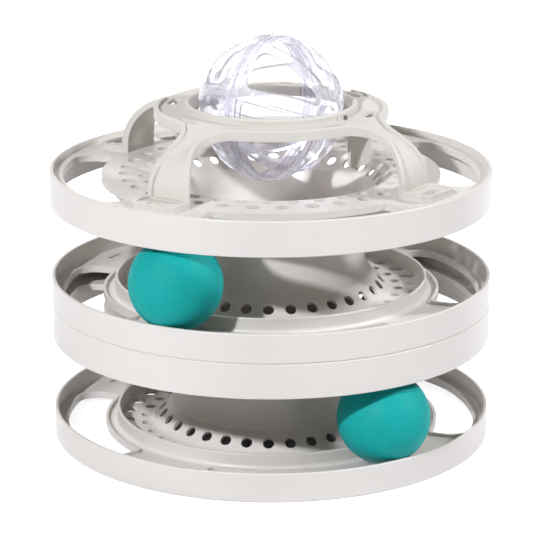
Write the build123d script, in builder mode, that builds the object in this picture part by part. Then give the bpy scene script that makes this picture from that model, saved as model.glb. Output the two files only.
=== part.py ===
from build123d import *
from math import acos, asin, atan2, cos, hypot, radians, sin, sqrt, tan
import os

# Cat ball track tower: two ball tracks between perforated trays on bell-shaped hubs,
# and a clear ball that spins in a four-legged stand on top. Millimetres, +Z up,
# origin at the centre of the bottom rim.

# Trays
tray_radius = 125.0
rim_wall = 2.0
track_rim_height = 16.4
roof_rim_height = 19.6
plate_thickness = 2.0
plate_recess = 3.6
track_width = 34.0
rail_wall = 1.8
rail_height = 14.2
edge_round = 0.6
rail_root_round = 2.5
rim_root_round = 1.2
seam_round = 0.8
cut_overrun = 1.0

# Windows in the tray floors, with a raised lip round each
window_count = 4
window_rail_gap = 6.9
window_rim_gap = 5.6
window_half_angle = 30.0
window_outer_corner = 11.0
window_inner_corner = 3.0
window_lip_width = 1.6
window_lip_height = 1.8

# Rows of round holes in each dish
hole_count = 32
outer_row_inset = 5.0
outer_hole_diameter = 8.0
row_spacing = 9.9
middle_hole_diameter = 6.0
slope_row_rise = 5.5
slope_hole_diameter = 6.2

# Hub: a 45 degree foot and a steeper arc above it, upright halfway between the trays
slope_foot_gap = 4.0
slope_rise = 10.9
slope_foot_round = 6.0
bowl_lip_round = 4.0
hub_taper = 6.4
hub_wall = 2.0

# Twist lock between a track hub and its roof hub
neck_flange = 11.0
spigot_clearance = 0.25
spigot_wall = 2.2
spigot_length = 6.0
lug_count = 3
lug_angle = 14.0
lug_reach = 2.0
lug_height = 1.8
lug_notch_clearance = 2.0
lug_turn = 40.0

# Bridges between the windows: a narrow slot in each track, and snap hooks
bridge_angle = 45.0
slot_rim_gap = 9.0
slot_width = 1.6
slot_length = 13.0
hook_rim_gap = 22.6
hook_thickness = 2.0
hook_width = 9.0
hook_clearance = 0.3
barb_reach = 0.9
barb_height = 1.8
barb_gap = 0.2

# Teal balls riding on the rail wall and the rim, held in by the roof's rim
ball_radius = 25.7
running_gap = 0.3
ball_hold = 1.93
lower_ball_angle = -64.0
upper_ball_angle = -129.2

# Clear ball and the pins it spins on
pivot_angle = -45.0
pivot_drop = 1.3
crystal_radius = 41.2
crystal_wall = 1.6
pole_cut = 1.2
pole_boss_radius = 6.0
pole_boss_depth = 6.0
seam_rib_height = 0.5
seam_rib_width = 2.2
lap_length = 3.0
lap_wall = 1.4
lap_clearance = 0.3
petal_count = 8
petal_start = 7.0
petal_pole_gap = 2.1
petal_root_half_width = 12.0
petal_middle_half_width = 9.6
petal_tip_half_width = 2.2
petal_root_corner = 4.0
petal_tip_corner = 1.8
pin_radius = 2.0
pin_seat_clearance = 0.05
bearing_clearance = 0.06
pin_shoulder_radius = 3.2
pin_end_play = 0.5
pin_seat_depth = 5.0
bearing_boss_width = 10.0
bearing_boss_drop = 5.0
bearing_boss_depth = 4.4
bearing_boss_step = 0.2

# Ball stand: ring, four legs with a raised border, feet on the top tray
stand_height = 37.7
ring_gap = 4.4
ring_width = 20.3
collar_wall = 3.0
collar_rise = 2.5
collar_drop = 4.2
collar_round = 1.2
leg_width = 16.2
leg_slope = 22.0
leg_knee_inset = 1.7
leg_arc_radius = 29.3
leg_root_round = 17.6
leg_flare = 13.8
leg_flare_round = 14.0
border_width = 2.8
border_height = 1.4
skirt_depth = 5.2
stand_wall = 2.0
foot_rim_gap = 9.5
foot_length = 14.8
foot_width = 30.4
foot_reach = 16.3
foot_thickness = 3.8
foot_corner = 7.0
foot_opening_inset = 6.9
foot_opening_depth = 6.0
foot_opening_width = 13.0
foot_opening_corner = 2.0
pad_recess = 0.8
ring_slot_angle = 18.0
ring_slot_inset = 8.6
ring_slot_length = 15.5
ring_slot_width = 5.4
tongue_inset = 6.4
tongue_width = 20.8
tongue_drop = 24.4
tongue_wall = 2.0
tongue_corner = 5.0

# Radii of the trays, from the rim inwards
rim_inner_radius = tray_radius - rim_wall
rail_radius = rim_inner_radius - track_width
window_inner_radius = rail_radius + window_rail_gap
window_outer_radius = rim_inner_radius - window_rim_gap
slot_radius = rim_inner_radius - slot_rim_gap
hook_radius = rim_inner_radius - hook_rim_gap
outer_row_radius = rail_radius - rail_wall - outer_row_inset
middle_row_radius = outer_row_radius - row_spacing
slope_foot_radius = middle_row_radius - slope_foot_gap
slope_top_radius = slope_foot_radius - slope_rise
neck_radius = slope_top_radius - hub_taper
neck_bore_radius = neck_radius - neck_flange
spigot_radius = neck_bore_radius - spigot_clearance

# Seat of a teal ball: its centre is where it just clears the rail wall and the rim
seat_reach = ball_radius + edge_round + running_gap
rail_seat = (rail_radius - edge_round, rail_height - edge_round)
rim_seat = (rim_inner_radius + edge_round, track_rim_height - edge_round)
seat_span = hypot(rim_seat[0] - rail_seat[0], rim_seat[1] - rail_seat[1])
seat_tilt = atan2(rim_seat[1] - rail_seat[1], rim_seat[0] - rail_seat[0])
seat_rise = sqrt(seat_reach**2 - (seat_span / 2) ** 2)
ball_track_radius = (rail_seat[0] + rim_seat[0]) / 2 - seat_rise * sin(seat_tilt)
ball_height = (rail_seat[1] + rim_seat[1]) / 2 + seat_rise * cos(seat_tilt)

# Levels
plate_face = plate_recess + plate_thickness
tier_pitch = ball_height + ball_radius - ball_hold + roof_rim_height
half_pitch = tier_pitch / 2
slope_top_height = plate_face + slope_rise
lug_level = half_pitch + hub_wall + spigot_clearance
hook_grip = plate_thickness + barb_gap + barb_height
roof_top = 2 * tier_pitch
deck = roof_top - plate_recess
foot_top = deck + foot_thickness
ring_top = deck + stand_height
pivot_height = ring_top - pivot_drop

# Arc of the hub's side, upright at the neck
hub_rise = half_pitch - slope_top_height
hub_arc_radius = (hub_taper**2 + hub_rise**2) / (2 * hub_taper)
hub_arc_center = neck_radius + hub_arc_radius

# Radii of the clear ball, its ring and the stand's legs
pole_flat = crystal_radius - pole_cut
petal_end = pole_flat - petal_pole_gap
ring_inner_radius = crystal_radius + ring_gap
ring_outer_radius = ring_inner_radius + ring_width
collar_outer_radius = ring_inner_radius + collar_wall
shoulder_end = ring_inner_radius - pin_end_play
pin_tip = collar_outer_radius - pin_end_play
ring_slot_radius = ring_outer_radius - ring_slot_inset
tongue_radius = ring_outer_radius - tongue_inset
leg_knee_radius = ring_outer_radius - leg_knee_inset
foot_outer_radius = rim_inner_radius - foot_rim_gap
foot_heel_radius = foot_outer_radius - foot_length
foot_opening_radius = foot_outer_radius - foot_opening_inset
leg_waist_radius = foot_heel_radius - leg_flare
leg_foot_radius = foot_outer_radius - foot_reach
leg_depth = border_height + stand_wall
foot_inner_radius = leg_foot_radius - leg_depth / 2
skin_bottom = ring_top - leg_depth

# Room for the curve at a leg's root, between the ring and the start of the flare
leg_flare_turn = atan2((foot_width - leg_width) / 2, leg_flare)
leg_flare_start = leg_waist_radius - leg_flare_round * tan(leg_flare_turn / 2)
leg_root_end = leg_flare_start - edge_round
leg_root_reach = leg_root_end**2 + (leg_width / 2) ** 2 - ring_outer_radius**2
leg_root_room = leg_root_reach / (2 * ring_outer_radius - leg_width)

# Side line of a leg: a slope from the ring, then a bend that ends upright over the foot
slope = radians(leg_slope)
leg_shoulder_radius = leg_foot_radius - leg_arc_radius * (1 - sin(slope))
shoulder_height = ring_top - (leg_shoulder_radius - leg_knee_radius) * tan(slope)
leg_arc_center = (leg_foot_radius - leg_arc_radius, shoulder_height - leg_arc_radius * cos(slope))
os.makedirs("parts", exist_ok=True)


def polar(radius, angle):
    """Point at a radius and an angle in degrees."""
    return (radius * cos(radians(angle)), radius * sin(radians(angle)))


def radial_plane(base):
    """Plane whose local x runs outwards along the base and whose local y is the base's up."""
    return Plane(origin=base.origin, x_dir=base.x_dir, z_dir=base.y_dir * -1)


def sector(inner_radius, outer_radius, half_angle):
    """Part of a ring, centred on +X."""
    with BuildSketch() as shape:
        with BuildLine():
            outer_arc = CenterArc((0, 0), outer_radius, -half_angle, 2 * half_angle)
            inner_arc = CenterArc((0, 0), inner_radius, -half_angle, 2 * half_angle)
            Line(outer_arc @ 0, inner_arc @ 0)
            Line(outer_arc @ 1, inner_arc @ 1)
        make_face()
    return shape.sketch


# Window outline, centred on the tray's own +X direction
window_sector = sector(window_inner_radius, window_outer_radius, window_half_angle)
with BuildSketch() as window_outline:
    add(window_sector)
    corners = window_outline.vertices().sort_by(lambda v: hypot(v.X, v.Y))
    fillet(corners[:2], radius=window_inner_corner)
    outer_corners = window_outline.vertices().group_by(lambda v: round(hypot(v.X, v.Y), 3))[-1]
    fillet(outer_corners, radius=window_outer_corner)

with BuildSketch() as lip_outline:
    add(window_outline.sketch)
    offset(amount=window_lip_width)


def tray_moulding(base, rim_height, closed_neck):
    """One tray facing the base plane's up: rim, windowed floor, rail wall, perforated dish and hub."""
    back_arc_radius = hub_arc_radius + hub_wall
    neck_back_height = half_pitch - hub_wall
    slope_back_offset = slope_foot_radius + plate_face - hub_wall * sqrt(2)
    neck_side = radians(180)
    crease_side = neck_side + asin(hub_rise / hub_arc_radius)
    back_neck_side = neck_side + asin(hub_wall / back_arc_radius)

    def hub_point(radius, side):
        return (hub_arc_center + radius * cos(side), half_pitch + radius * sin(side))

    crease_reach = slope_back_offset - hub_arc_center - half_pitch
    crease_back_side = radians(45) + acos(crease_reach / (sqrt(2) * back_arc_radius))
    crease_back = hub_point(back_arc_radius, crease_back_side)
    neck_back = hub_point(back_arc_radius, back_neck_side)
    bowl_lip = (slope_back_offset - plate_recess, plate_recess)
    if closed_neck:
        neck_line = [
            (neck_radius, half_pitch),
            (spigot_radius, half_pitch),
            (spigot_radius, half_pitch + spigot_length),
            (spigot_radius - spigot_wall, half_pitch + spigot_length),
            (spigot_radius - spigot_wall, half_pitch),
            (0, half_pitch),
            (0, neck_back_height),
            neck_back,
        ]
    else:
        neck_line = [
            (neck_radius, half_pitch),
            (neck_bore_radius, half_pitch),
            (neck_bore_radius, neck_back_height),
            neck_back,
        ]
    with BuildPart() as moulding:
        with BuildSketch(radial_plane(base)) as profile:
            with BuildLine():
                Polyline(
                    bowl_lip,
                    (rim_inner_radius, plate_recess),
                    (rim_inner_radius, 0),
                    (tray_radius, 0),
                    (tray_radius, rim_height),
                    (rim_inner_radius, rim_height),
                    (rim_inner_radius, plate_face),
                    (rail_radius, plate_face),
                    (rail_radius, rail_height),
                    (rail_radius - rail_wall, rail_height),
                    (rail_radius - rail_wall, plate_face),
                    (slope_foot_radius, plate_face),
                    (slope_top_radius, slope_top_height),
                )
                ThreePointArc(
                    (slope_top_radius, slope_top_height),
                    hub_point(hub_arc_radius, (neck_side + crease_side) / 2),
                    (neck_radius, half_pitch),
                )
                Polyline(*neck_line)
                back_middle = hub_point(back_arc_radius, (back_neck_side + crease_back_side) / 2)
                ThreePointArc(neck_back, back_middle, crease_back)
                Line(crease_back, bowl_lip)
            make_face()
            tops = profile.vertices().filter_by(
                lambda v: v.X > rail_radius - rail_wall - edge_round and v.Y > plate_face + edge_round
            )
            fillet(tops, radius=edge_round)
            fillet(profile.vertices().sort_by_distance((tray_radius, 0))[0], seam_round)
            fillet(profile.vertices().sort_by_distance((rail_radius, plate_face))[0], rail_root_round)
            fillet(profile.vertices().sort_by_distance((rim_inner_radius, plate_face))[0], rim_root_round)
            fillet(profile.vertices().sort_by_distance((slope_foot_radius, plate_face))[0], slope_foot_round)
            fillet(profile.vertices().sort_by_distance(bowl_lip)[0], bowl_lip_round)
        revolve(axis=Axis(base.origin, base.z_dir))
        with BuildSketch(base.offset(plate_recess)):
            with PolarLocations(0, window_count):
                add(lip_outline.sketch)
        extrude(amount=plate_thickness + window_lip_height)
        with BuildSketch(base.offset(plate_recess - cut_overrun)):
            with PolarLocations(0, window_count):
                add(window_outline.sketch)
            with PolarLocations(outer_row_radius, hole_count, start_angle=180 / hole_count):
                Circle(outer_hole_diameter / 2)
            with PolarLocations(middle_row_radius, hole_count):
                Circle(middle_hole_diameter / 2)
        extrude(amount=plate_thickness + window_lip_height + 2 * cut_overrun, mode=Mode.SUBTRACT)
        slope_row = Location(
            (slope_foot_radius - slope_row_rise, 0, plate_face + slope_row_rise), (0, 45, 0)
        )
        with Locations(base.location):
            with PolarLocations(0, hole_count):
                with Locations(slope_row):
                    Cylinder(slope_hole_diameter / 2, 4 * hub_wall, mode=Mode.SUBTRACT)
    return moulding.part


def bridge_hooks(base, drop):
    """Four snap hooks hanging from the base plane by the drop, barbs pointing outwards."""
    with BuildPart() as hooks:
        with BuildSketch(base):
            with PolarLocations(hook_radius, window_count, start_angle=bridge_angle):
                Rectangle(hook_thickness, hook_width)
        extrude(amount=-drop)
        with BuildSketch(base.offset(-drop)):
            with PolarLocations(hook_radius, window_count, start_angle=bridge_angle):
                with Locations((barb_reach / 2, 0)):
                    Rectangle(hook_thickness + barb_reach, hook_width)
        extrude(amount=barb_height)
    return hooks.part


def track_tray(level):
    """Track: facing up, open neck with notches for the roof's lugs, a slot in each bridge."""
    base = Plane.XY.offset(level)
    moulding = tray_moulding(base, track_rim_height, closed_neck=False)
    notch_reach = neck_bore_radius + lug_reach + spigot_clearance
    notch = sector(neck_bore_radius - lug_reach, notch_reach, lug_angle / 2 + lug_notch_clearance)
    with BuildPart() as track:
        add(moulding)
        with BuildSketch(base.offset(half_pitch - hub_wall - cut_overrun)):
            with PolarLocations(0, lug_count, start_angle=lug_turn):
                add(notch)
        extrude(amount=hub_wall + 2 * cut_overrun, mode=Mode.SUBTRACT)
        with BuildSketch(base.offset(plate_recess - cut_overrun)):
            with PolarLocations(slot_radius, window_count, start_angle=bridge_angle):
                SlotOverall(slot_length, slot_width, rotation=90)
        extrude(amount=plate_thickness + 2 * cut_overrun, mode=Mode.SUBTRACT)
    return track.part


def roof_tray(level):
    """Roof: a tray turned over, closed neck with spigot and lugs, slots that take the hooks."""
    base = Plane(origin=(0, 0, level), x_dir=(1, 0, 0), z_dir=(0, 0, -1))
    moulding = tray_moulding(base, roof_rim_height, closed_neck=True)
    lug = sector(spigot_radius - spigot_wall / 2, spigot_radius + lug_reach, lug_angle / 2)
    with BuildPart() as roof:
        add(moulding)
        with BuildSketch(base.offset(lug_level)):
            with PolarLocations(0, lug_count):
                add(lug)
        extrude(amount=lug_height)
        with BuildSketch(base.offset(plate_recess - cut_overrun)):
            with PolarLocations(hook_radius, window_count, start_angle=bridge_angle):
                Rectangle(hook_thickness + 2 * hook_clearance, hook_width + 2 * hook_clearance)
        extrude(amount=plate_thickness + 2 * cut_overrun, mode=Mode.SUBTRACT)
    return roof.part


# Bottom track, standing on its rim
bottom_moulding = track_tray(0)
with BuildPart() as bottom_track:
    add(bottom_moulding)
bottom_track.part.label = "bottom_track"
export_step(bottom_track.part, "parts/bottom_track.step")

# Roof over the lower ball
lower_roof_moulding = roof_tray(tier_pitch)
with BuildPart() as lower_roof:
    add(lower_roof_moulding)
lower_roof.part.label = "lower_roof"
export_step(lower_roof.part, "parts/lower_roof.step")

# Upper track, back to back with the lower roof and hooked into it
upper_moulding = track_tray(tier_pitch)
track_hooks = bridge_hooks(Plane.XY.offset(tier_pitch + plate_recess), 2 * plate_recess + hook_grip)
with BuildPart() as upper_track:
    add(upper_moulding)
    add(track_hooks)
upper_track.part.label = "upper_track"
export_step(upper_track.part, "parts/upper_track.step")

# Roof over the upper ball; its hub is the bowl under the clear ball
top_roof_moulding = roof_tray(roof_top)
with BuildPart() as top_roof:
    add(top_roof_moulding)
top_roof.part.label = "top_roof"
export_step(top_roof.part, "parts/top_roof.step")

# Teal balls
with BuildPart(Plane(origin=(*polar(ball_track_radius, lower_ball_angle), ball_height))) as lower_ball:
    Sphere(ball_radius)
lower_ball.part.label = "lower_ball"
export_step(lower_ball.part, "parts/lower_ball.step")

with BuildPart(
    Plane(origin=(*polar(ball_track_radius, upper_ball_angle), tier_pitch + ball_height))
) as upper_ball:
    Sphere(ball_radius)
upper_ball.part.label = "upper_ball"
export_step(upper_ball.part, "parts/upper_ball.step")

# Leg seen from above, pointing along +X: a waist that flares to the foot
with BuildSketch() as leg_outline:
    with BuildLine():
        Polyline(
            (0, -leg_width / 2),
            (leg_waist_radius, -leg_width / 2),
            (foot_heel_radius, -foot_width / 2),
            (foot_outer_radius, -foot_width / 2),
            (foot_outer_radius, foot_width / 2),
            (foot_heel_radius, foot_width / 2),
            (leg_waist_radius, leg_width / 2),
            (0, leg_width / 2),
            close=True,
        )
    make_face()
    sides = leg_outline.vertices().filter_by(
        lambda v: leg_waist_radius - edge_round < v.X < foot_heel_radius + edge_round
    )
    fillet(sides, radius=leg_flare_round)
    fillet(leg_outline.vertices().group_by(Axis.X)[-1], radius=foot_corner)

# Stand outline seen from above: ring and four legs
with BuildSketch() as star:
    Circle(ring_outer_radius)
    with PolarLocations(0, window_count, start_angle=bridge_angle):
        add(leg_outline.sketch)
    roots = star.vertices().filter_by(lambda v: abs(hypot(v.X, v.Y) - ring_outer_radius) < edge_round)
    fillet(roots, radius=min(leg_root_round, leg_root_room))

with BuildSketch() as star_inset:
    add(star.sketch)
    offset(amount=-border_width)


def leg_line(knee_depth, depth):
    """Knee, bend and foot of the leg's side line, at depths under its top at the knee and beyond."""
    radius = leg_arc_radius - depth
    level = max(deck, leg_arc_center[1])
    foot_turn = asin((level - leg_arc_center[1]) / radius)
    turns = (radians(90) - slope, (foot_turn + radians(90) - slope) / 2, foot_turn)
    knee = (leg_knee_radius - knee_depth * tan(slope / 2), ring_top - knee_depth)
    bend = [(leg_arc_center[0] + radius * cos(t), leg_arc_center[1] + radius * sin(t)) for t in turns]
    return knee, bend


def dome_band(upper_depth, lower_knee_depth, lower_depth, outline):
    """Layer of the stand between two depths under its top, kept inside an outline."""
    upper_knee, upper_bend = leg_line(upper_depth, upper_depth)
    lower_knee, lower_bend = leg_line(lower_knee_depth, lower_depth)
    inner = ring_inner_radius + collar_wall / 2
    bottom = deck - cut_overrun
    with BuildPart() as band:
        with BuildSketch(radial_plane(Plane.XY)):
            with BuildLine():
                Polyline((inner, ring_top - upper_depth), upper_knee, upper_bend[0])
                ThreePointArc(*upper_bend)
                Polyline(
                    upper_bend[2],
                    (upper_bend[2][0], bottom),
                    (lower_bend[2][0], bottom),
                    lower_bend[2],
                )
                ThreePointArc(lower_bend[2], lower_bend[1], lower_bend[0])
                Polyline(lower_bend[0], lower_knee, (inner, ring_top - lower_knee_depth))
                Line((inner, ring_top - lower_knee_depth), (inner, ring_top - upper_depth))
            make_face()
        revolve(axis=Axis.Z)
        with BuildSketch(Plane.XY.offset(deck)):
            add(outline)
        extrude(amount=stand_height, mode=Mode.INTERSECT)
    return band.part


def pivot_plane(angle):
    """Plane at the clear ball's centre, up along the pivot line towards an angle."""
    return Plane(origin=(0, 0, pivot_height), x_dir=(0, 0, 1), z_dir=(*polar(1, angle), 0))


with BuildSketch() as border_outline:
    add(star.sketch)
    add(star_inset.sketch, mode=Mode.SUBTRACT)

stand_skin = dome_band(border_height, leg_depth, leg_depth, star.sketch)
stand_border = dome_band(0, skirt_depth, leg_depth, border_outline.sketch)
foot_hooks = bridge_hooks(Plane.XY.offset(deck), hook_grip)

# Ball stand
with BuildPart() as ball_stand:
    add(stand_skin)
    add(stand_border)
    with BuildSketch(radial_plane(Plane.XY)) as collar:
        with BuildLine():
            Polyline(
                (ring_inner_radius, ring_top - collar_drop),
                (collar_outer_radius, ring_top - collar_drop),
                (collar_outer_radius, ring_top + collar_rise),
                (ring_inner_radius, ring_top + collar_rise),
                close=True,
            )
        make_face()
        fillet(collar.vertices().group_by(Axis.Y)[-1], radius=collar_round)
    revolve(axis=Axis.Z)
    with BuildSketch(Plane.XY.offset(deck)):
        add(star.sketch)
        Circle(foot_inner_radius, mode=Mode.SUBTRACT)
    extrude(amount=foot_thickness)
    with BuildSketch(Plane.XY.offset(foot_top - pad_recess)):
        add(star_inset.sketch)
        Circle(leg_foot_radius + pad_recess, mode=Mode.SUBTRACT)
    extrude(amount=2 * pad_recess, mode=Mode.SUBTRACT)
    with BuildSketch(Plane.XY.offset(deck - cut_overrun)):
        with PolarLocations(foot_opening_radius, window_count, start_angle=bridge_angle):
            RectangleRounded(foot_opening_depth, foot_opening_width, foot_opening_corner)
    extrude(amount=foot_thickness + 2 * cut_overrun, mode=Mode.SUBTRACT)
    add(foot_hooks)
    with BuildSketch(Plane.XY.offset(skin_bottom - cut_overrun)):
        for side in (-1, 1):
            first = bridge_angle + side * ring_slot_angle
            with PolarLocations(ring_slot_radius, window_count, start_angle=first):
                SlotOverall(ring_slot_length, ring_slot_width, rotation=90)
    extrude(amount=stand_wall + 2 * cut_overrun, mode=Mode.SUBTRACT)
    for angle in (pivot_angle, pivot_angle + 180):
        along = (*polar(1, angle), 0)
        across = (*polar(1, angle + 90), 0)
        tongue_top = (*polar(tongue_radius - tongue_wall / 2, angle), skin_bottom + stand_wall / 2)
        with BuildSketch(Plane(origin=tongue_top, x_dir=across, z_dir=along)) as tongue:
            Rectangle(tongue_width, tongue_drop, align=(Align.CENTER, Align.MAX))
            fillet(tongue.vertices().group_by(Axis.Y)[0], radius=tongue_corner)
        extrude(amount=tongue_wall)
        boss_start = (0, 0, pivot_height - bearing_boss_drop)
        with BuildSketch(Plane(origin=boss_start, x_dir=along, z_dir=(0, 0, 1))):
            with Locations((ring_inner_radius + bearing_boss_depth / 2, 0)):
                Rectangle(bearing_boss_depth, bearing_boss_width)
        extrude(amount=bearing_boss_drop + pivot_drop + collar_rise - collar_round - bearing_boss_step)
    with BuildSketch(Plane.XY.offset(deck)):
        Circle(ring_inner_radius)
    extrude(amount=stand_height + 2 * collar_rise, mode=Mode.SUBTRACT)
    with BuildSketch(pivot_plane(pivot_angle)):
        Circle(pin_radius + bearing_clearance)
    extrude(amount=collar_outer_radius + bearing_boss_depth, both=True, mode=Mode.SUBTRACT)
ball_stand.part.label = "ball_stand"
export_step(ball_stand.part, "parts/ball_stand.step")


def crystal_half(angle):
    """Half of the clear ball towards an angle: shell, seam rib, pole boss with bore, petal openings."""
    base = pivot_plane(angle)
    inner_radius = crystal_radius - crystal_wall
    bore_radius = pin_radius + pin_seat_clearance
    rib_end = (sqrt(crystal_radius**2 - seam_rib_width**2), seam_rib_width)
    flat_edge = (sqrt(crystal_radius**2 - pole_flat**2), pole_flat)
    flat_back = pole_flat - crystal_wall
    flat_back_edge = (sqrt(inner_radius**2 - flat_back**2), flat_back)
    outer_middle = (crystal_radius * cos(radians(40)), crystal_radius * sin(radians(40)))
    inner_middle = (inner_radius * cos(radians(40)), inner_radius * sin(radians(40)))
    petal_planes = []
    for step in range(petal_count):
        turn = 360 / petal_count * step
        outward = (
            sin(radians(turn)) * base.y_dir.X,
            sin(radians(turn)) * base.y_dir.Y,
            cos(radians(turn)),
        )
        start = base.origin + Vector(*outward) * (pole_boss_radius + 2 * crystal_wall)
        petal_planes.append(Plane(origin=start, x_dir=base.z_dir, z_dir=outward))
    with BuildPart() as half:
        with BuildSketch(radial_plane(base)):
            with BuildLine():
                Polyline(
                    (inner_radius, 0),
                    (crystal_radius + seam_rib_height, 0),
                    (crystal_radius + seam_rib_height, seam_rib_width),
                    rib_end,
                )
                ThreePointArc(rib_end, outer_middle, flat_edge)
                Polyline(
                    flat_edge,
                    (bore_radius, pole_flat),
                    (bore_radius, pole_flat - pole_boss_depth),
                    (pole_boss_radius, pole_flat - pole_boss_depth),
                    (pole_boss_radius, flat_back),
                    flat_back_edge,
                )
                ThreePointArc(flat_back_edge, inner_middle, (inner_radius, 0))
            make_face()
        revolve(axis=Axis(base.origin, base.z_dir))
        with BuildSketch(*petal_planes) as petal:
            with BuildLine():
                root = (petal_start, petal_root_half_width)
                tip = (petal_end, petal_tip_half_width)
                middle = ((petal_start + petal_end) / 2, petal_middle_half_width)
                ThreePointArc(root, middle, tip)
                Line(tip, (tip[0], -tip[1]))
                ThreePointArc((tip[0], -tip[1]), (middle[0], -middle[1]), (root[0], -root[1]))
                Line((root[0], -root[1]), root)
            make_face()
            fillet(petal.vertices().group_by(Axis.X)[-1], radius=petal_tip_corner)
            fillet(petal.vertices().group_by(Axis.X)[0], radius=petal_root_corner)
        extrude(amount=crystal_radius, mode=Mode.SUBTRACT)
    return half.part


# Front half of the clear ball, with the lap ring that centres the rear half
front_half = crystal_half(pivot_angle)
front_base = pivot_plane(pivot_angle)
lap_outer_radius = crystal_radius - crystal_wall - lap_clearance
with BuildPart() as front_shell:
    add(front_half)
    with BuildSketch(radial_plane(front_base)):
        with BuildLine():
            Polyline(
                (lap_outer_radius - lap_wall, -lap_length),
                (lap_outer_radius, -lap_length),
                (lap_outer_radius, lap_wall / 2),
                (lap_outer_radius + 2 * lap_clearance, lap_wall / 2),
                (lap_outer_radius + 2 * lap_clearance, lap_length),
                (lap_outer_radius - lap_wall, lap_length),
                close=True,
            )
        make_face()
    revolve(axis=Axis(front_base.origin, front_base.z_dir))
front_shell.part.label = "front_shell"
export_step(front_shell.part, "parts/front_shell.step")

# Rear half of the clear ball
rear_half = crystal_half(pivot_angle + 180)
with BuildPart() as rear_shell:
    add(rear_half)
rear_shell.part.label = "rear_shell"
export_step(rear_shell.part, "parts/rear_shell.step")


def pivot_pin(angle):
    """Pin pressed into the ball's pole, its shoulder in the gap and its tip in the ring."""
    base = pivot_plane(angle)
    with BuildPart() as pin:
        with BuildSketch(radial_plane(base)) as profile:
            with BuildLine():
                Polyline(
                    (0, pole_flat - pin_seat_depth),
                    (pin_radius, pole_flat - pin_seat_depth),
                    (pin_radius, pole_flat),
                    (pin_shoulder_radius, pole_flat),
                    (pin_shoulder_radius, shoulder_end),
                    (pin_radius, shoulder_end),
                    (pin_radius, pin_tip),
                    (0, pin_tip),
                    close=True,
                )
            make_face()
            fillet(profile.vertices().sort_by_distance((pin_radius, pin_tip))[0], radius=edge_round)
        revolve(axis=Axis(base.origin, base.z_dir))
    return pin.part


# Pivot pins
front_pin = pivot_pin(pivot_angle)
with BuildPart() as front_pivot_pin:
    add(front_pin)
front_pivot_pin.part.label = "front_pivot_pin"
export_step(front_pivot_pin.part, "parts/front_pivot_pin.step")

rear_pin = pivot_pin(pivot_angle + 180)
with BuildPart() as rear_pivot_pin:
    add(rear_pin)
rear_pivot_pin.part.label = "rear_pivot_pin"
export_step(rear_pivot_pin.part, "parts/rear_pivot_pin.step")
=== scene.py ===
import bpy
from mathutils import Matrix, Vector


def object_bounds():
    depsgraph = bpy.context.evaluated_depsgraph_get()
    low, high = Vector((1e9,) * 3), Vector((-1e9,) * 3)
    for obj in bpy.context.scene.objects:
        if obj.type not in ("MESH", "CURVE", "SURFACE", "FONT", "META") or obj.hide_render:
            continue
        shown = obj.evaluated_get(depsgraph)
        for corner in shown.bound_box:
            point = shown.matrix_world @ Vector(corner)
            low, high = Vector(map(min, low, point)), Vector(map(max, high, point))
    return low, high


bl_info = {
    "name": "Cat ball track tower",
    "version": (1, 0, 0),
    "blender": (4, 5, 0),
    "location": "3D View > Sidebar > Ball tower",
    "description": "Finishes and studio of a cat ball track tower",
    "category": "Object",
}

from math import cos, radians, sin

import bmesh
import bpy
from bpy.props import FloatProperty, FloatVectorProperty, PointerProperty
from mathutils import Vector

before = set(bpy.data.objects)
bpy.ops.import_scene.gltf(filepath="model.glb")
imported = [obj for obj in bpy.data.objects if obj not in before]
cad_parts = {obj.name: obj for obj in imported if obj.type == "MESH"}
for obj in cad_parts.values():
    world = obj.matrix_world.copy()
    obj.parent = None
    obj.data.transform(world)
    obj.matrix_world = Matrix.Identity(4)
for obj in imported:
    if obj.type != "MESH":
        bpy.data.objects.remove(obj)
CAD_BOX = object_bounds()

TRACK_NODES = ("bottom_track", "upper_track")
ROOF_NODES = ("lower_roof", "top_roof")
TEAL_NODES = ("lower_ball", "upper_ball")
SHELL_NODES = ("front_shell", "rear_shell")
PIN_NODES = ("front_pivot_pin", "rear_pivot_pin")

# Noise cells per metre of each finish
FLOW_CLOUDS = 9
GLOSS_PATCHES = 18
MOULD_GRAIN = 600
SANDED_PATCHES = 120
SANDED_GRAIN = 1500
CLEAR_CLOUDS = 9
CLEAR_PATCHES = 60
CLEAR_RIPPLES = 70
MILKY_CLOUDS = 300
MILKY_PATCHES = 400
MILKY_GRAIN = 1600

MILKY_GRAIN_DEPTH = 0.00002
MILKY_SHADE = 0.93
PALE_CLEAR = (0.95, 0.945, 0.99)

# Lamps: name, setting of its power, side in metres, azimuth and elevation in degrees, seen in reflections
LAMPS = (
    ("left_lamp", "left_power", 0.14, -133, 33, True),
    ("right_lamp", "right_power", 0.45, -17, 34, True),
    ("back_lamp", "back_power", 1.6, 105, 20, False),
)
LAMP_DISTANCE = 3.0
LAMP_COLOUR = (0.93, 0.958, 1.0)
WORLD_COLOUR = (1.0, 0.9, 0.79, 1)
WHITE = (1, 1, 1, 1)
FLOOR_DROP = 0.0002
# Painted shade: share of the dark disc's radius over which the floor glow fades back in
PAINTED_SHADE_SOFTNESS = 0.9


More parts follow.
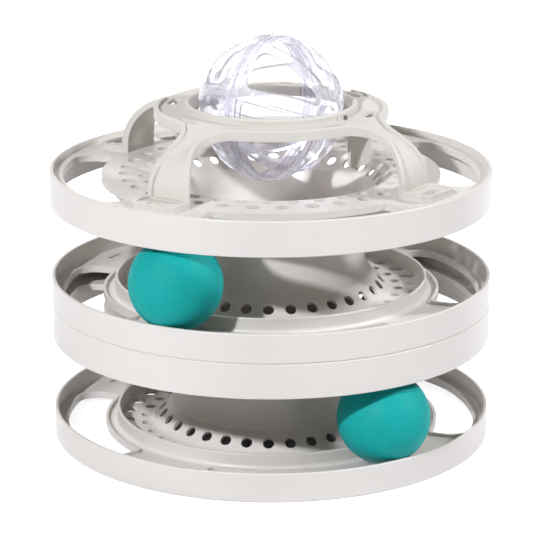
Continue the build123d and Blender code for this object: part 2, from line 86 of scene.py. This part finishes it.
class BallTowerPlastic(bpy.types.PropertyGroup):
    """Finish of the moulded trays and of the ball stand."""

    tray_colour: FloatVectorProperty(
        name="Tray colour",
        description="Main colour of the four trays",
        default=(0.675, 0.637, 0.604),
        subtype="COLOR",
        min=0,
        max=1,
    )
    stand_colour: FloatVectorProperty(
        name="Stand colour",
        description="Main colour of the ball stand, a little creamier than the trays",
        default=(0.63, 0.6, 0.558),
        subtype="COLOR",
        min=0,
        max=1,
    )
    shade: FloatProperty(
        name="Flow shade",
        description="How dark the faint flow clouds in the plastic are, 1 for none",
        default=0.975,
        min=0.5,
        max=1,
        subtype="FACTOR",
    )
    tray_roughness: FloatProperty(
        name="Tray roughness",
        description="Roughness of the trays where the mould was polished best",
        default=0.34,
        subtype="FACTOR",
    )
    stand_roughness: FloatProperty(
        name="Stand roughness",
        description="Roughness of the stand where the mould was polished best",
        default=0.46,
        subtype="FACTOR",
    )
    gloss_spread: FloatProperty(
        name="Gloss spread",
        description="How much rougher the dullest places are",
        default=0.07,
        subtype="FACTOR",
    )
    edge_round: FloatProperty(
        name="Edge round",
        description="Radius of the soft edges left by the mould",
        default=0.0004,
        unit="LENGTH",
        precision=6,
    )
    grain_depth: FloatProperty(
        name="Grain depth",
        description="Depth of the fine moulded grain",
        default=0.00002,
        unit="LENGTH",
        precision=6,
    )


class BallTowerTeal(bpy.types.PropertyGroup):
    """Finish of the two track balls."""

    colour: FloatVectorProperty(
        name="Teal",
        description="Main colour of the track balls",
        default=(0.004, 0.30, 0.287),
        subtype="COLOR",
        min=0,
        max=1,
    )
    speckle_colour: FloatVectorProperty(
        name="Speckle",
        description="Colour of the fine lighter speckle",
        default=(0.010, 0.352, 0.336),
        subtype="COLOR",
        min=0,
        max=1,
    )
    speckle_scale: FloatProperty(
        name="Speckle scale",
        description="Speckles per metre",
        default=1100.0,
    )
    grain_depth: FloatProperty(
        name="Grain depth",
        description="Depth of the sanded grain",
        default=0.00006,
        unit="LENGTH",
        precision=6,
    )


class BallTowerClear(bpy.types.PropertyGroup):
    """Finish of the clear ball and its pins."""

    colour: FloatVectorProperty(
        name="Clear tint",
        description="Faint lavender tint of the clear plastic",
        default=(0.86, 0.85, 0.95),
        subtype="COLOR",
        min=0,
        max=1,
    )
    ripple_depth: FloatProperty(
        name="Ripple depth",
        description="Depth of the slow ripples left by moulding",
        default=0.00025,
        unit="LENGTH",
        precision=6,
    )
    pin_colour: FloatVectorProperty(
        name="Pin colour",
        description="Milky colour of the pivot pins",
        default=(0.83, 0.83, 0.85),
        subtype="COLOR",
        min=0,
        max=1,
    )


class BallTowerStage(bpy.types.PropertyGroup):
    """Floor, lamps and camera."""

    floor_size: FloatProperty(
        name="Floor size",
        description="Side of the floor",
        default=14.0,
        unit="LENGTH",
    )
    floor_colour: FloatVectorProperty(
        name="Floor colour",
        description="Pale floor under the tower",
        default=(0.65, 0.665, 0.69),
        subtype="COLOR",
        min=0,
        max=1,
    )
    floor_glow: FloatProperty(
        name="Floor glow",
        description="White added to the floor where it is seen as background",
        default=0.85,
    )
    # Painted shade: inside this radius under the tower the floor's white glow is left out, so the floor
    # there is painted dark
    painted_shade_radius: FloatProperty(
        name="Shelter radius",
        description="Radius under the tower inside which the floor stays dark",
        default=0.09,
        unit="LENGTH",
    )
    world_light: FloatProperty(
        name="World light",
        description="Strength of the even light from all round",
        default=0.18,
    )
    left_power: FloatProperty(
        name="Left power",
        description="Small lamp at the front left",
        default=81,
        subtype="POWER",
    )
    right_power: FloatProperty(
        name="Right power",
        description="Wider lamp on the right",
        default=70,
        subtype="POWER",
    )
    back_power: FloatProperty(
        name="Back power",
        description="Wide soft lamp behind",
        default=48,
        subtype="POWER",
    )
    camera_place: FloatVectorProperty(
        name="Camera place",
        description="Where the camera stands",
        default=(-0.24076, -1.36542, 0.49531),
        subtype="TRANSLATION",
        unit="LENGTH",
    )
    camera_line: FloatVectorProperty(
        name="Camera line",
        description="Direction that the camera looks along",
        default=(0.166403, 0.945981, -0.278264),
        subtype="DIRECTION",
    )
    lens: FloatProperty(
        name="Lens",
        description="Focal length in millimetres",
        default=168.058,
        unit="CAMERA",
    )


def start_material(name):
    """New material with one Principled shader; returns the material and the shader."""
    material = bpy.data.materials.new(name)
    material.use_nodes = True
    return material, material.node_tree.nodes["Principled BSDF"]


def surface_noise(tree, scale, detail=2.0):
    """Noise over the piece's own coordinates, in noise cells per metre."""
    place = tree.nodes.new("ShaderNodeTexCoord")
    noise = tree.nodes.new("ShaderNodeTexNoise")
    noise.inputs["Scale"].default_value = scale
    noise.inputs["Detail"].default_value = detail
    tree.links.new(place.outputs["Object"], noise.inputs["Vector"])
    return noise.outputs["Fac"]


def vary_colour(tree, shader, factor, low_colour, high_colour, low=0.35, high=0.65):
    """Runs the base colour from one colour to another by a noise."""
    ramp = tree.nodes.new("ShaderNodeValToRGB")
    ramp.color_ramp.elements[0].position = low
    ramp.color_ramp.elements[0].color = (*low_colour, 1)
    ramp.color_ramp.elements[1].position = high
    ramp.color_ramp.elements[1].color = (*high_colour, 1)
    tree.links.new(factor, ramp.inputs["Fac"])
    tree.links.new(ramp.outputs["Color"], shader.inputs["Base Color"])


def vary_roughness(tree, shader, factor, smooth, dull):
    """Runs the roughness between two values by a noise."""
    spread = tree.nodes.new("ShaderNodeMapRange")
    spread.inputs["From Min"].default_value = 0.3
    spread.inputs["From Max"].default_value = 0.7
    spread.inputs["To Min"].default_value = smooth
    spread.inputs["To Max"].default_value = dull
    tree.links.new(factor, spread.inputs["Value"])
    tree.links.new(spread.outputs["Result"], shader.inputs["Roughness"])


def add_bump(tree, shader, height, depth, edge_round=0):
    """Raises the surface by a noise, up to a depth in metres, and softens its edges."""
    bump = tree.nodes.new("ShaderNodeBump")
    bump.inputs["Distance"].default_value = depth
    tree.links.new(height, bump.inputs["Height"])
    if edge_round:
        bevel = tree.nodes.new("ShaderNodeBevel")
        bevel.inputs["Radius"].default_value = edge_round
        tree.links.new(bevel.outputs["Normal"], bump.inputs["Normal"])
    tree.links.new(bump.outputs["Normal"], shader.inputs["Normal"])


def moulded_plastic(name, colour, smooth, settings):
    """Satin moulded plastic: faint flow clouds, uneven gloss, a fine grain and soft edges."""
    material, shader = start_material(name)
    tree = material.node_tree
    shade = [part * settings.shade for part in colour]
    clouds = surface_noise(tree, FLOW_CLOUDS, detail=1)
    patches = surface_noise(tree, GLOSS_PATCHES, detail=1)
    grain = surface_noise(tree, MOULD_GRAIN, detail=1)
    vary_colour(tree, shader, clouds, shade, colour, low=0.2, high=0.8)
    vary_roughness(tree, shader, patches, smooth, smooth + settings.gloss_spread)
    add_bump(tree, shader, grain, settings.grain_depth, settings.edge_round)
    shader.inputs["Specular IOR Level"].default_value = 0.36
    return material


def teal_plastic(settings):
    """Matte teal with a fine sanded speckle."""
    material, shader = start_material("teal_matte")
    tree = material.node_tree
    speckle = surface_noise(tree, settings.speckle_scale, detail=5)
    patches = surface_noise(tree, SANDED_PATCHES, detail=3)
    grain = surface_noise(tree, SANDED_GRAIN, detail=3)
    vary_colour(tree, shader, speckle, settings.colour, settings.speckle_colour)
    vary_roughness(tree, shader, patches, smooth=0.50, dull=0.64)
    add_bump(tree, shader, grain, settings.grain_depth)
    shader.inputs["Specular IOR Level"].default_value = 0.12
    return material


def clear_plastic(settings):
    """Polished clear plastic with slow moulding ripples."""
    material, shader = start_material("clear_polished")
    tree = material.node_tree
    clouds = surface_noise(tree, CLEAR_CLOUDS)
    patches = surface_noise(tree, CLEAR_PATCHES)
    ripples = surface_noise(tree, CLEAR_RIPPLES, detail=1)
    vary_colour(tree, shader, clouds, settings.colour, PALE_CLEAR)
    vary_roughness(tree, shader, patches, smooth=0.01, dull=0.05)
    add_bump(tree, shader, ripples, settings.ripple_depth)
    shader.inputs["Transmission Weight"].default_value = 0.92
    shader.inputs["IOR"].default_value = 1.45
    shader.inputs["Alpha"].default_value = 0.8
    return material


def milky_plastic(settings):
    """Hard milky plastic of the pivot pins."""
    material, shader = start_material("pin_milky")
    tree = material.node_tree
    shade = [part * MILKY_SHADE for part in settings.pin_colour]
    clouds = surface_noise(tree, MILKY_CLOUDS, detail=3)
    patches = surface_noise(tree, MILKY_PATCHES)
    grain = surface_noise(tree, MILKY_GRAIN, detail=1)
    vary_colour(tree, shader, clouds, shade, settings.pin_colour)
    vary_roughness(tree, shader, patches, smooth=0.18, dull=0.3)
    add_bump(tree, shader, grain, MILKY_GRAIN_DEPTH)
    return material


def finish_node(name, material):
    """Puts a material on a CAD node in place of the materials it came with."""
    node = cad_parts[name]
    node.data.materials.clear()
    node.data.materials.append(material)


class BALLTOWER_OT_trays(bpy.types.Operator):
    """Gives the tracks and the roofs their ivory moulded finish"""

    bl_idname = "ball_tower.trays"
    bl_label = "Trays"

    def execute(self, context):
        settings = context.scene.ball_tower_plastic
        ivory = moulded_plastic("ivory_moulded", settings.tray_colour, settings.tray_roughness, settings)
        for name in TRACK_NODES + ROOF_NODES:
            finish_node(name, ivory)
        return {"FINISHED"}


class BALLTOWER_OT_stand(bpy.types.Operator):
    """Gives the ball stand its cream moulded finish"""

    bl_idname = "ball_tower.stand"
    bl_label = "Ball stand"

    def execute(self, context):
        settings = context.scene.ball_tower_plastic
        cream = moulded_plastic("cream_moulded", settings.stand_colour, settings.stand_roughness, settings)
        finish_node("ball_stand", cream)
        return {"FINISHED"}


class BALLTOWER_OT_track_balls(bpy.types.Operator):
    """Gives the two track balls their matte teal finish"""

    bl_idname = "ball_tower.track_balls"
    bl_label = "Track balls"

    def execute(self, context):
        teal = teal_plastic(context.scene.ball_tower_teal)
        for name in TEAL_NODES:
            finish_node(name, teal)
        return {"FINISHED"}


class BALLTOWER_OT_clear_ball(bpy.types.Operator):
    """Gives the clear ball's halves and pins their finish"""

    bl_idname = "ball_tower.clear_ball"
    bl_label = "Clear ball"

    def execute(self, context):
        settings = context.scene.ball_tower_clear
        clear = clear_plastic(settings)
        milky = milky_plastic(settings)
        for name in SHELL_NODES:
            finish_node(name, clear)
        for name in PIN_NODES:
            finish_node(name, milky)
        return {"FINISHED"}


def background_ray(tree):
    """1 where a ray shows the background: straight, in a reflection or through clear plastic."""
    path = tree.nodes.new("ShaderNodeLightPath")
    first = tree.nodes.new("ShaderNodeMath")
    first.operation = "MAXIMUM"
    tree.links.new(path.outputs["Is Camera Ray"], first.inputs[0])
    tree.links.new(path.outputs["Is Glossy Ray"], first.inputs[1])
    both = tree.nodes.new("ShaderNodeMath")
    both.operation = "MAXIMUM"
    tree.links.new(first.outputs["Value"], both.inputs[0])
    tree.links.new(path.outputs["Is Transmission Ray"], both.inputs[1])
    return both.outputs["Value"]


def floor_material(settings):
    """Pale floor that reads as white background and keeps the tower's shadow; under the tower its white
    glow is left out in a disc, a painted shade.
    """
    material = bpy.data.materials.new("pale_floor")
    material.use_nodes = True
    tree = material.node_tree
    shader = tree.nodes["Principled BSDF"]
    shader.inputs["Base Color"].default_value = (*settings.floor_colour, 1)
    shader.inputs["Roughness"].default_value = 0.9
    shader.inputs["Specular IOR Level"].default_value = 0.0
    glow = tree.nodes.new("ShaderNodeEmission")
    place = tree.nodes.new("ShaderNodeTexCoord")
    reach = tree.nodes.new("ShaderNodeVectorMath")
    reach.operation = "LENGTH"
    tree.links.new(place.outputs["Object"], reach.inputs[0])
    # Painted shade: the glow is left out in a disc under the tower and fades in towards its edge
    glow_outside_painted_shade = tree.nodes.new("ShaderNodeMapRange")
    glow_outside_painted_shade.inputs["From Min"].default_value = settings.painted_shade_radius * PAINTED_SHADE_SOFTNESS
    glow_outside_painted_shade.inputs["From Max"].default_value = settings.painted_shade_radius
    glow_outside_painted_shade.inputs["To Max"].default_value = settings.floor_glow
    tree.links.new(reach.outputs["Value"], glow_outside_painted_shade.inputs["Value"])
    strength = tree.nodes.new("ShaderNodeMath")
    strength.operation = "MULTIPLY"
    tree.links.new(background_ray(tree), strength.inputs[0])
    tree.links.new(glow_outside_painted_shade.outputs["Result"], strength.inputs[1])
    tree.links.new(strength.outputs["Value"], glow.inputs["Strength"])
    total = tree.nodes.new("ShaderNodeAddShader")
    tree.links.new(shader.outputs["BSDF"], total.inputs[0])
    tree.links.new(glow.outputs["Emission"], total.inputs[1])
    tree.links.new(total.outputs["Shader"], tree.nodes["Material Output"].inputs["Surface"])
    return material


def make_floor(settings):
    """Floor just under the lowest rim."""
    mesh = bpy.data.meshes.new("floor")
    shape = bmesh.new()
    bmesh.ops.create_grid(shape, x_segments=1, y_segments=1, size=settings.floor_size / 2)
    shape.to_mesh(mesh)
    shape.free()
    floor = bpy.data.objects.new("floor", mesh)
    floor.location.z = CAD_BOX[0].z - FLOOR_DROP
    mesh.materials.append(floor_material(settings))
    bpy.context.scene.collection.objects.link(floor)


def make_world(settings):
    """Even pale light from all round, white where it is seen as background."""
    world = bpy.data.worlds.new("studio")
    world.use_nodes = True
    tree = world.node_tree
    light = tree.nodes["Background"]
    light.inputs["Color"].default_value = WORLD_COLOUR
    light.inputs["Strength"].default_value = settings.world_light
    white = tree.nodes.new("ShaderNodeBackground")
    white.inputs["Color"].default_value = WHITE
    white.inputs["Strength"].default_value = 1.0
    mix = tree.nodes.new("ShaderNodeMixShader")
    tree.links.new(background_ray(tree), mix.inputs["Fac"])
    tree.links.new(light.outputs["Background"], mix.inputs[1])
    tree.links.new(white.outputs["Background"], mix.inputs[2])
    tree.links.new(mix.outputs["Shader"], tree.nodes["World Output"].inputs["Surface"])
    bpy.context.scene.world = world


def make_lamp(name, power, size, azimuth, elevation, glint):
    """Square lamp aimed at the middle of the tower, from an azimuth and an elevation in degrees."""
    middle = (CAD_BOX[0] + CAD_BOX[1]) / 2
    turn = radians(azimuth)
    rise = radians(elevation)
    away = LAMP_DISTANCE * Vector((cos(rise) * cos(turn), cos(rise) * sin(turn), sin(rise)))
    lamp = bpy.data.lights.new(name, "AREA")
    lamp.energy = power
    lamp.size = size
    lamp.color = LAMP_COLOUR
    holder = bpy.data.objects.new(name, lamp)
    holder.location = middle + away
    holder.rotation_euler = (-away).to_track_quat("-Z", "Y").to_euler()
    holder.visible_glossy = glint
    bpy.context.scene.collection.objects.link(holder)


def make_camera(settings):
    """Camera at the photograph's angle."""
    data = bpy.data.cameras.new("camera")
    data.sensor_width = 36
    data.lens = settings.lens
    data.clip_end = 50
    camera = bpy.data.objects.new("camera", data)
    camera.location = settings.camera_place
    camera.rotation_euler = Vector(settings.camera_line).to_track_quat("-Z", "Y").to_euler()
    bpy.context.scene.collection.objects.link(camera)
    bpy.context.scene.camera = camera


class BALLTOWER_OT_stage(bpy.types.Operator):
    """Adds the pale floor, the studio light and the camera"""

    bl_idname = "ball_tower.stage"
    bl_label = "Stage"

    def execute(self, context):
        settings = context.scene.ball_tower_stage
        make_floor(settings)
        make_world(settings)
        for name, power, size, azimuth, elevation, glint in LAMPS:
            make_lamp(name, getattr(settings, power), size, azimuth, elevation, glint)
        make_camera(settings)
        context.scene.view_settings.view_transform = "Standard"
        return {"FINISHED"}


class BALLTOWER_PT_panel(bpy.types.Panel):
    """Lists the steps that dress the tower"""

    bl_idname = "BALLTOWER_PT_panel"
    bl_label = "Ball tower"
    bl_space_type = "VIEW_3D"
    bl_region_type = "UI"
    bl_category = "Ball tower"

    def draw(self, context):
        for step in STEPS:
            self.layout.operator(step.bl_idname)


STEPS = (
    BALLTOWER_OT_trays,
    BALLTOWER_OT_stand,
    BALLTOWER_OT_track_balls,
    BALLTOWER_OT_clear_ball,
    BALLTOWER_OT_stage,
)
SETTINGS = {
    "ball_tower_plastic": BallTowerPlastic,
    "ball_tower_teal": BallTowerTeal,
    "ball_tower_clear": BallTowerClear,
    "ball_tower_stage": BallTowerStage,
}


def register():
    for group in SETTINGS.values():
        bpy.utils.register_class(group)
    for step in STEPS:
        bpy.utils.register_class(step)
    bpy.utils.register_class(BALLTOWER_PT_panel)
    for name, group in SETTINGS.items():
        setattr(bpy.types.Scene, name, PointerProperty(type=group))


def unregister():
    for name in SETTINGS:
        delattr(bpy.types.Scene, name)
    bpy.utils.unregister_class(BALLTOWER_PT_panel)
    for step in reversed(STEPS):
        bpy.utils.unregister_class(step)
    for group in reversed(SETTINGS.values()):
        bpy.utils.unregister_class(group)


def main():
    register()
    bpy.ops.ball_tower.trays()
    bpy.ops.ball_tower.stand()
    bpy.ops.ball_tower.track_balls()
    bpy.ops.ball_tower.clear_ball()
    bpy.ops.ball_tower.stage()


if __name__ == "__main__":
    main()
